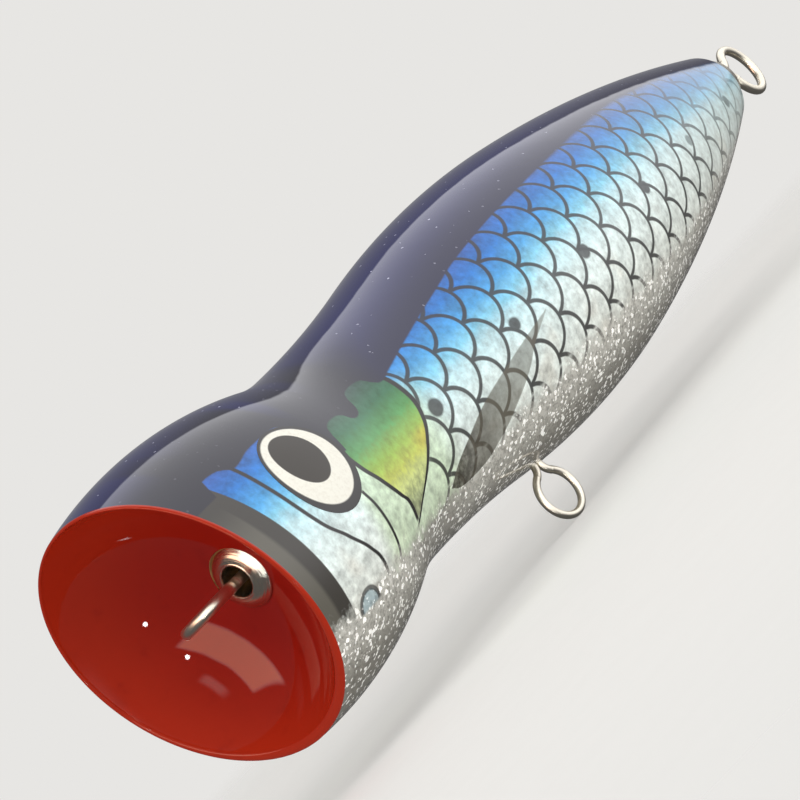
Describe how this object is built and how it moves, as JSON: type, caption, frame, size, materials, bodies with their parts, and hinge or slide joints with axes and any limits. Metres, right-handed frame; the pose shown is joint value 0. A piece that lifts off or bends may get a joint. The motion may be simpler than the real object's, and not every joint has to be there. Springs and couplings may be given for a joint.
{
  "type": "topwater popper lure",
  "caption": "Painted wooden surface lure with a cupped mouth, foil flanks, inset eyes and stainless wire loops for the line and the hooks.",
  "frame": {"origin": "centre of the line-tie loop in the mouth, on the axis of the turned body", "axes": "-Y out of the mouth, +Y towards the tail, +Z towards the fish's back, +X towards its left side"},
  "size_m": [0.0412, 0.1791, 0.0475],
  "materials": {
    "wood_body": "painted under a thick clear epoxy coat",
    "wood_plug": "painted with silver glitter under the clear coat",
    "wire": "drawn stainless wire",
    "ferrule": "turned stainless with fine machining rings",
    "lead": "dull cast lead",
    "foil": "printed scale foil under the clear coat",
    "eye": "printed cream ring and dark pupil, glossy"
  },
  "bodies": {
    "root": {"body_left_half": "wood_body", "body_right_half": "wood_body", "through_wire": "wire", "nose_ferrule": "ferrule", "tail_ferrule": "ferrule", "belly_hanger": "wire", "ballast_weight": "lead", "ballast_plug": "wood_plug", "foil_left": "foil", "foil_right": "foil", "eye_left": "eye", "eye_right": "eye"}
  },
  "joints": []
}
